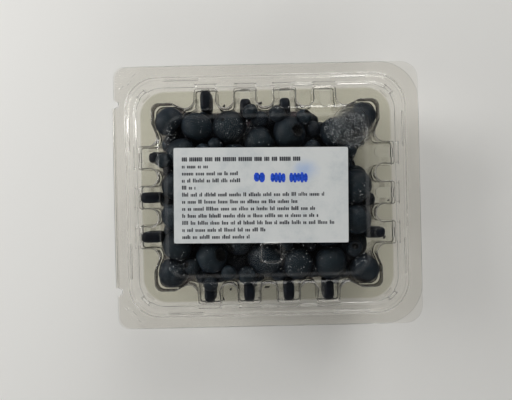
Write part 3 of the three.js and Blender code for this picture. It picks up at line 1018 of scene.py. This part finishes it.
def makeLabel():
    halfX, halfY = label["size"][0] / 2, label["size"][1] / 2
    columns, rows = label["grid"]
    corner = label["corner"]
    points = []
    for j in range(rows + 1):
        for i in range(columns + 1):
            x, y = halfX * (2 * i / columns - 1), halfY * (2 * j / rows - 1)
            overX, overY = abs(x) - halfX + corner, abs(y) - halfY + corner
            if overX > 0 and overY > 0:
                # Pull the corner cells in to a round
                shrink = corner / max(corner, math.hypot(overX, overY))
                x = math.copysign(halfX - corner + overX * shrink, x)
                y = math.copysign(halfY - corner + overY * shrink, y)
            z = label["wave"] * (math.sin(x * 0.5 + 1.3 * math.sin(y * 0.4)) + math.sin(y * 0.7 + x * 0.13))
            points.append(labelPoint(x, y, 2 * label["wave"] + z))
    return thickened(meshObject("paperLabel", points, gridFaces(rows, columns)), label["thick"], 1)


# Rows of small dark dashes, and three blue blobs, in millimetres from the label's upper left corner
marks = {
    "left": 3.2,
    "top": 4.75,
    "pitch": 2.73,
    "rows": (49.1, 14.8, 25.2, 26.4, 8.7, 58.3, 48.7, 56.0, 56.4, 62.6, 35.6, 29.5),
    "dashWide": (0.34, 0.58),
    "dashTall": (1.05, 1.55),
    "gap": 0.19,
    "wordGap": 0.8,
    "word": (2, 7),
    "lowShare": 0.66,            # of the dashes
    "bold": (1.35, 1.05),        # width and height of the first row over the others
    "ink": 0.02,                 # how proud the ink stands
    "cut": (0.12, 0.28),         # corners of dashes and of blobs
    "seed": 21,
    "blobs": ((31.2, 35.2, 11.6, 2), (37.6, 43.2, 11.7, 4), (44.9, 51.8, 11.8, 5)),
    "blobTall": 4.0,
}


def inkPoints(draw):
    # Middle and size of every dash and blob on the label, and whether it is blue
    spots = []
    for row, end in enumerate(marks["rows"]):
        x, y = marks["left"], marks["top"] + row * marks["pitch"]
        bold, raised = marks["bold"] if row == 0 else (1.0, 1.0)
        while x < end:
            low, high = marks["word"]
            for _ in range(low + int((high - low + 1) * draw())):
                wide = bold * (marks["dashWide"][0] + (marks["dashWide"][1] - marks["dashWide"][0]) * draw())
                tall = marks["dashTall"][0] if draw() < marks["lowShare"] and row else marks["dashTall"][1]
                if x + wide > end:
                    break
                spots.append((x + wide / 2, y - tall / 2 + 0.5, wide, tall * raised, 0))
                x += wide + marks["gap"] / bold
            x += marks["wordGap"]
    for left, right, y, count in marks["blobs"]:
        step = (right - left) / count
        for k in range(count):
            tall = marks["blobTall"] * (0.82 + 0.18 * draw())
            spots.append((left + (k + 0.5) * step, y + 0.3 * (draw() - 0.5), step * 1.12, tall, 1))
    return spots


def inkBlock(name, corner):
    # Unit block with its corners cut, one high, standing on z = 0
    outline = [(0.5, corner - 0.5), (0.5, 0.5 - corner), (0.5 - corner, 0.5), (corner - 0.5, 0.5),
               (-0.5, 0.5 - corner), (-0.5, corner - 0.5), (corner - 0.5, -0.5), (0.5 - corner, -0.5)]
    count = len(outline)
    points = [(x, y, z) for z in (0, 1) for x, y in outline]
    faces = [(k, (k + 1) % count, count + (k + 1) % count, count + k) for k in range(count)]
    faces += [tuple(range(count))[::-1], tuple(range(count, 2 * count))]
    return kindObject(name, points, faces, False)


def makeInk(name, blue, material):
    halfX, halfY = label["size"][0] / 2, label["size"][1] / 2
    level = label["thick"] + 3 * label["wave"]
    turn = (0.0, 0.0, math.radians(label["turn"]))
    items = [(labelPoint(x - halfX, halfY - y, level), turn, (wide, tall, marks["ink"]), 0, 0.0)
             for x, y, wide, tall, isBlue in inkPoints(makeRandom(marks["seed"])) if isBlue == blue]
    return scattered(name, [inkBlock(name + "Block", marks["cut"][blue])], items, material)


# Hinge: the strip of sheet bent between the two brims
strip = {
    "half": 36.2,
    "lidEdge": (-60.7, 22.28),
    "baseEdge": (-60.4, 21.48),
    "out": -61.85,
    "thick": 0.3,
    "steps": 10,
    "along": 24,
}


def makeStrip():
    points = []
    lidX, lidZ = strip["lidEdge"]
    baseX, baseZ = strip["baseEdge"]
    middle = (lidZ + baseZ) / 2
    steps, along = strip["steps"], strip["along"]
    for j in range(along + 1):
        y = strip["half"] * (2 * j / along - 1)
        for k in range(steps + 1):
            turn = math.pi * k / steps
            start = lidX * (1 + math.cos(turn)) / 2 + baseX * (1 - math.cos(turn)) / 2
            bulge = (strip["out"] - min(lidX, baseX)) * math.sin(turn)
            points.append((start + bulge, y, middle + (lidZ - baseZ) / 2 * math.cos(turn)))
    faces = [(a, d, c, b) for a, b, c, d in gridFaces(along, steps)]
    return thickened(meshObject("hingeStrip", points, faces), strip["thick"], 0)


def newMaterial(name):
    # Returns the material, its Principled shader, the call that adds nodes, and Object coordinates
    material = bpy.data.materials.new(name)
    material.use_nodes = True
    add = adder(material.node_tree)
    place = add("ShaderNodeTexCoord").outputs["Object"]
    return material, material.node_tree.nodes["Principled BSDF"], add, place


def noise(add, place, scale, detail=2.0, roughness=0.5):
    return add("ShaderNodeTexNoise", {
        "Vector": place, "Scale": scale, "Detail": detail, "Roughness": roughness}).outputs["Fac"]


def mapped(add, value, low, high, toLow=0.0, toHigh=1.0):
    return add("ShaderNodeMapRange", {
        "Value": value, "From Min": low, "From Max": high, "To Min": toLow, "To Max": toHigh},
        interpolation_type="SMOOTHSTEP").outputs[0]


def maths(add, operation, *values):
    return add("ShaderNodeMath", dict(enumerate(values)), operation=operation).outputs[0]


def vectorMaths(add, operation, *values):
    return add("ShaderNodeVectorMath", dict(enumerate(values)), operation=operation).outputs


def mixColours(add, share, one, two):
    return add("ShaderNodeMix", {0: share, 6: one, 7: two}, data_type="RGBA").outputs[2]


def colourRamp(add, value, stops):
    ramp = add("ShaderNodeValToRGB", {0: value})
    for index, (position, colour) in enumerate(stops):
        stop = ramp.color_ramp.elements[index] if index < 2 else ramp.color_ramp.elements.new(position)
        stop.position = position
        stop.color = colour
    return ramp.outputs[0]


sheetLook = {
    "tint": (0.955, 0.945, 0.92, 1),
    # Painted shade of the heap and pack on the floor under the shoulder, in the floor's beige
    "shoulderPaintedShade": (0.70, 0.69, 0.60, 1),       # base inside the ridge
    "shoulderShadeFrom": (7.0, 9.6, 10.8),        # offset from the core, start and end of the change
    # Juice stain together with painted shade of the heap: dark on the base's floor under the berries and on the
    # lobes' walls
    "juiceAndShade": (0.06, 0.045, 0.055, 1),
    "juiceAndShadeTop": 4.5,             # height in mm up to which the base is stained
    "juiceAndShadeReach": 12.3,
    "juiceAndShadeUnder": (-3.6, -4.4),  # from the seam: where the base's stain begins and is full
    "juiceAndShadeOver": ((3.4, 4.2), (12.6, 11.6)),     # the same on the lid, from below and from above
    "wallJuiceAndShade": 0.22,           # share of it higher up, and on the lid's walls
    "fog": (0.03, 0.16),         # roughness where clear, where fogged
    "fogFrom": (0.42, 0.75),
    "mist": (33.0, 26.0, 6.5, 11.0),     # x, y, radius of full mist, radius without it
    "mistZ": (34.0, 34.4),
    "mistRough": 0.3,
    "mistDots": 0.5,
    "waveScale": 90.0,
    "dotScale": 1500.0,
    "wave": 0.38,
    "dots": 0.6,
    "stippleFrom": (104.0, 104.8),       # |y| - x at which the stipple begins and is full
}


def farFrom(add, flatPlace, x, y):
    return vectorMaths(add, "DISTANCE", flatPlace, (x * mm, y * mm, 0))["Value"]


def beyondCore(add, flatPlace, offset):
    # How far a place lies outside the core rectangle grown by an offset: along each axis
    corner = ((pack["coreX"] + offset) * mm, (pack["coreY"] + offset) * mm, 0)
    mirrored = vectorMaths(add, "ABSOLUTE", flatPlace)["Vector"]
    past = vectorMaths(add, "SUBTRACT", mirrored, corner)["Vector"]
    return vectorMaths(add, "MAXIMUM", past)["Vector"]


def juiceAndShadeMask(add, flatPlace):
    # Where the juice stain and painted shade of the heap lie: inside the lobes' slots' inner ends, away from
    # the gaps in the heap
    sides = add("ShaderNodeSeparateXYZ", {0: beyondCore(add, flatPlace, 0)}).outputs
    edge = sheetLook["juiceAndShadeReach"]
    reach = maths(add, "MAXIMUM", sides["X"], sides["Y"])
    mask = mapped(add, reach, (edge + 0.4) * mm, (edge - 0.4) * mm)
    for x, y, radius in heap["gaps"]:
        away = mapped(add, farFrom(add, flatPlace, x, y), (radius + 1.5) * mm, (radius + 5) * mm)
        mask = maths(add, "MULTIPLY", mask, away)
    return mask


def sheetGroup():
    # Slow waves of formed sheet, fine dots where the mask asks for them, and where juice stain and painted
    # shade of the heap lie
    tree, add, source = newGroup("formedSheet", "ShaderNodeTree", (
        ("Vector", "INPUT", "Vector"), ("Waves", "INPUT", "Float"), ("Dots", "INPUT", "Float"),
        ("Normal", "OUTPUT", "Vector"), ("Fog", "OUTPUT", "Float"), ("Juice", "OUTPUT", "Float")))
    place = source["Vector"]
    waves = add("ShaderNodeBump", {"Strength": source["Waves"], "Distance": 0.6 * mm,
                                   "Height": noise(add, place, sheetLook["waveScale"])})
    dots = add("ShaderNodeTexVoronoi", {"Vector": place, "Scale": sheetLook["dotScale"]})
    dotted = add("ShaderNodeBump", {"Strength": source["Dots"], "Distance": 0.25 * mm,
                                    "Height": dots.outputs["Distance"], "Normal": waves.outputs[0]})
    flat = vectorMaths(add, "MULTIPLY", place, (1, 1, 0))["Vector"]
    fog = noise(add, place, sheetLook["waveScale"] * 0.6, 3)
    add("NodeGroupOutput", {"Normal": dotted.outputs[0], "Fog": fog, "Juice": juiceAndShadeMask(add, flat)})
    return tree


def clearMaterial(name, group, stained):
    material, shader, add, place = newMaterial(name)
    axes = add("ShaderNodeSeparateXYZ", {0: place}).outputs
    flat = vectorMaths(add, "MULTIPLY", place, (1, 1, 0))["Vector"]
    sheet = add("ShaderNodeGroup", node_tree=group)
    feed(sheet, {"Vector": place, "Waves": sheetLook["wave"]})
    # Stippled corners at the hinge end
    depth = maths(add, "SUBTRACT", maths(add, "ABSOLUTE", axes["Y"]), axes["X"])
    start, full = sheetLook["stippleFrom"]
    dots = maths(add, "MULTIPLY", mapped(add, depth, start * mm, full * mm), sheetLook["dots"])
    fog = mapped(add, sheet.outputs["Fog"], *sheetLook["fogFrom"], *sheetLook["fog"])
    juiceAndShade = sheet.outputs["Juice"]

    def overSeam(low, high):
        return mapped(add, axes["Z"], (pack["seamZ"] + low) * mm, (pack["seamZ"] + high) * mm)

    if stained:
        # Juice stain with painted shade of the heap on the floor, thinner on the walls, and painted shade under
        # the shoulder inside the ridge
        top = sheetLook["juiceAndShadeTop"]
        low = mapped(add, axes["Z"], top * mm, (top - 2) * mm, sheetLook["wallJuiceAndShade"], 1.0)
        # Painted shade: the base turns darker and beige inside the ridge, where the heap shades the floor below
        offset, start, stop = sheetLook["shoulderShadeFrom"]
        away = vectorMaths(add, "LENGTH", beyondCore(add, flat, offset))["Value"]
        inside = mapped(add, away, stop * mm, start * mm)
        shade = mixColours(add, inside, sheetLook["tint"], sheetLook["shoulderPaintedShade"])
        share = maths(add, "MULTIPLY", juiceAndShade, maths(add, "MULTIPLY", low, overSeam(*sheetLook["juiceAndShadeUnder"])))
    else:
        # Juice stain with painted shade of the heap on the walls, and mist under the panel at the corner left
        # bare
        wall = maths(add, "MULTIPLY", *[overSeam(*ends) for ends in sheetLook["juiceAndShadeOver"]])
        shade = sheetLook["tint"]
        share = maths(add, "MULTIPLY", maths(add, "MULTIPLY", wall, juiceAndShade), sheetLook["wallJuiceAndShade"])
        x, y, full, none = sheetLook["mist"]
        low, high = sheetLook["mistZ"]
        mist = maths(add, "MULTIPLY", mapped(add, farFrom(add, flat, x, y), none * mm, full * mm),
                     mapped(add, axes["Z"], low * mm, high * mm))
        dots = maths(add, "ADD", dots, maths(add, "MULTIPLY", mist, sheetLook["mistDots"]))
        fog = maths(add, "MAXIMUM", fog, maths(add, "MULTIPLY", mist, sheetLook["mistRough"]))
    feed(sheet, {"Dots": dots})
    feed(shader, {"IOR": 1.45, "Transmission Weight": 1.0, "Normal": sheet.outputs["Normal"], "Roughness": fog,
                  "Base Color": mixColours(add, share, shade, sheetLook["juiceAndShade"])})
    # Light falls through unshaded
    clear = add("ShaderNodeMixShader", {0: add("ShaderNodeLightPath").outputs["Is Shadow Ray"],
                                        1: shader.outputs[0], 2: add("ShaderNodeBsdfTransparent").outputs[0]})
    feed(material.node_tree.nodes["Material Output"], {"Surface": clear.outputs[0]})
    return material


skin = {
    "dark": (0.0026, 0.0034, 0.0060, 1),
    "bloom": (0.010, 0.017, 0.026, 1),
    "crown": (0.002, 0.0018, 0.002, 1),
    # Lighter colour the berries turn towards near the lid's film
    "pressed": (0.008, 0.014, 0.019, 1),
    "lighterNearFilmZ": (29.5, 34.6),    # heights over which the berries turn lighter towards the lid's film
    "lighterNearFilmShare": 0.85,
    "cloud": (170, 5, 0.62),     # scale, detail and roughness of the bloom
    "toneShare": 0.3,
    "bloomFrom": (0.48, 0.95),
    "roughness": 0.52,
    "shine": 0.14,
}


def berryMaterial():
    material, shader, add, place = newMaterial("berrySkin")
    tone = add("ShaderNodeAttribute", attribute_name="tone").outputs["Fac"]
    crown = add("ShaderNodeAttribute", attribute_name="crownMark").outputs["Fac"]
    bloomed = maths(add, "MULTIPLY_ADD", tone, skin["toneShare"], noise(add, place, *skin["cloud"]))
    start, full = skin["bloomFrom"]
    colour = colourRamp(add, bloomed, ((start, skin["dark"]), (full, skin["bloom"])))
    low, high = skin["lighterNearFilmZ"]
    height = add("ShaderNodeSeparateXYZ", {0: place}).outputs["Z"]
    # Berries turn lighter towards the lid's film, higher up
    nearFilm = mapped(add, height, low * mm, high * mm, 0.0, skin["lighterNearFilmShare"])
    colour = mixColours(add, nearFilm, colour, skin["pressed"])
    feed(shader, {"Base Color": mixColours(add, crown, colour, skin["crown"]), "Roughness": skin["roughness"],
                  "Specular IOR Level": skin["shine"]})
    return material


paperLook = {
    "paper": (0.75, 0.77, 0.76, 1),
    "damp": (0.60, 0.64, 0.65, 1),
    "smudge": (0.36, 0.50, 0.78, 1),
    "smudgeAt": (16.5, 9.0),     # on the label, from its middle
    "smudgeEdge": (10.6, 4.2),   # distance at which it begins and is full
    "smudgeShare": 0.75,
    "smudgeWild": 9.0,           # how uneven its edge is
    "cloud": (65, 6, 0.7),
    "dampFrom": (0.42, 0.72),
    "fibres": (2500, 0.25, 0.05),        # scale, strength and height
    "roughness": 0.6,
}


def paperMaterial():
    material, shader, add, place = newMaterial("labelPaper")
    cloud = noise(add, place, *paperLook["cloud"])
    damp = mapped(add, cloud, *paperLook["dampFrom"])
    colour = mixColours(add, damp, paperLook["paper"], paperLook["damp"])
    spot = [c * mm for c in labelPoint(*paperLook["smudgeAt"], 0)]
    apart = vectorMaths(add, "DISTANCE", place, spot)["Value"]
    uneven = maths(add, "MULTIPLY_ADD", cloud, paperLook["smudgeWild"] * mm, apart)
    start, full = paperLook["smudgeEdge"]
    near = mapped(add, uneven, start * mm, full * mm, 0.0, paperLook["smudgeShare"])
    scale, strength, rise = paperLook["fibres"]
    bump = add("ShaderNodeBump", {
        "Strength": strength, "Distance": rise * mm, "Height": noise(add, place, scale)})
    feed(shader, {"Base Color": mixColours(add, near, colour, paperLook["smudge"]), "Normal": bump.outputs[0],
                  "Roughness": paperLook["roughness"]})
    return material


def inkMaterial(name, colour):
    material, shader, add, place = newMaterial(name)
    pale = (*[min(1, c * 1.8 + 0.03) for c in colour[:3]], 1)
    ink = colourRamp(add, noise(add, place, 900), ((0.35, colour), (0.8, pale)))
    feed(shader, {"Base Color": ink, "Roughness": 0.5})
    return material


def plainMaterial(name, colour, roughness, clear=0.0):
    material = bpy.data.materials.new(name)
    material.use_nodes = True
    feed(material.node_tree.nodes["Principled BSDF"], {
        "Base Color": colour, "Roughness": roughness, "Transmission Weight": clear})
    return material


formedSheet = sheetGroup()
lidPlastic = clearMaterial("lidPlastic", formedSheet, False)
basePlastic = clearMaterial("basePlastic", formedSheet, True)
lid.data.materials.append(lidPlastic)
base.data.materials.append(basePlastic)
berries = makeBerries(berryMaterial())
print("berries", len(berries.data.polygons))
# Drops of water, pale grey and partly opaque as a painted glint
drops = makeDrops(plainMaterial("dropWater", (0.55, 0.58, 0.6, 1), 0.2, 0.3))
specks = makeSpecks(plainMaterial("berryBits", (0.012, 0.010, 0.012, 1), 0.4))
paperLabel = makeLabel()
paperLabel.data.materials.append(paperMaterial())
greyInk = makeInk("greyInk", 0, inkMaterial("greyInk", (0.03, 0.032, 0.04, 1)))
blueInk = makeInk("blueInk", 1, inkMaterial("blueInk", (0.003, 0.055, 0.50, 1)))
hingeStrip = makeStrip()
hingeStrip.data.materials.append(lidPlastic)
print("label and hinge")


# Floor and light
stage = {
    "half": 700,
    "sky": ((0.0, 0.25), (1.0, 0.05), (0.12, 0.2), (0.5, 1.0), (0.82, 1.0), (0.92, 0.09)),     # height, level
    "skyStrength": 0.37,
    "cloud": (1.7, 0.5, 1.5),    # scale of the sky's unevenness, its darkest and lightest
}
half = stage["half"]
corners = ((-half, -half), (half, -half), (half, half), (-half, half))
floor = meshObject("floor", [(x, y, -0.02) for x, y in corners], [(0, 1, 2, 3)])
floor.data.materials.append(plainMaterial("floor", (0.88, 0.87, 0.84, 1), 0.7))
world = bpy.data.worlds.new("sky")
world.use_nodes = True
add = adder(world.node_tree)
direction = add("ShaderNodeTexCoord").outputs["Generated"]
upward = add("ShaderNodeSeparateXYZ", {0: direction}).outputs["Z"]
fade = colourRamp(add, upward, [(place, (grey, grey, grey * 0.98, 1)) for place, grey in stage["sky"]])
scale, darkest, lightest = stage["cloud"]
level = mapped(add, noise(add, direction, scale, 1), 0.38, 0.62, darkest, lightest)
uneven = add("ShaderNodeVectorMath", {0: fade, "Scale": level}, operation="SCALE")
feed(world.node_tree.nodes["Background"], {"Color": uneven.outputs["Vector"], "Strength": stage["skyStrength"]})
bpy.context.scene.world = world
bpy.context.scene.view_settings.view_transform = "Standard"


def softLight(name, place, aim, size, watts):
    lamp = bpy.data.lights.new(name, "AREA")
    lamp.energy = watts
    lamp.size = size * mm
    light = placed(name, lamp)
    light.location = [c * mm for c in place]
    light.rotation_euler = (Vector(aim) - Vector(place)).to_track_quat("-Z", "Y").to_euler()


softLight("windowLeft", (-440, 160, 235), (0, 0, 10), 230, 1.25)
softLight("windowBack", (150, 450, 240), (0, 0, 10), 260, 1.1)
softLight("roomFront", (120, -450, 240), (0, 0, 10), 330, 0.45)
softLight("windowStrip", (-400, -300, 170), (0, 0, 10), 90, 0.25)
print("light")

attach(lid, "lid")
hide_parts("lid")
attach(base, "base")
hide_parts("base")
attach(berries, "base")
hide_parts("berries")
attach(paperLabel, "lid")
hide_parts("label")
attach(drops, "lid")
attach(specks, "base")
for ink in (greyInk, blueInk):
    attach(ink, "lid")
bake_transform(hingeStrip)
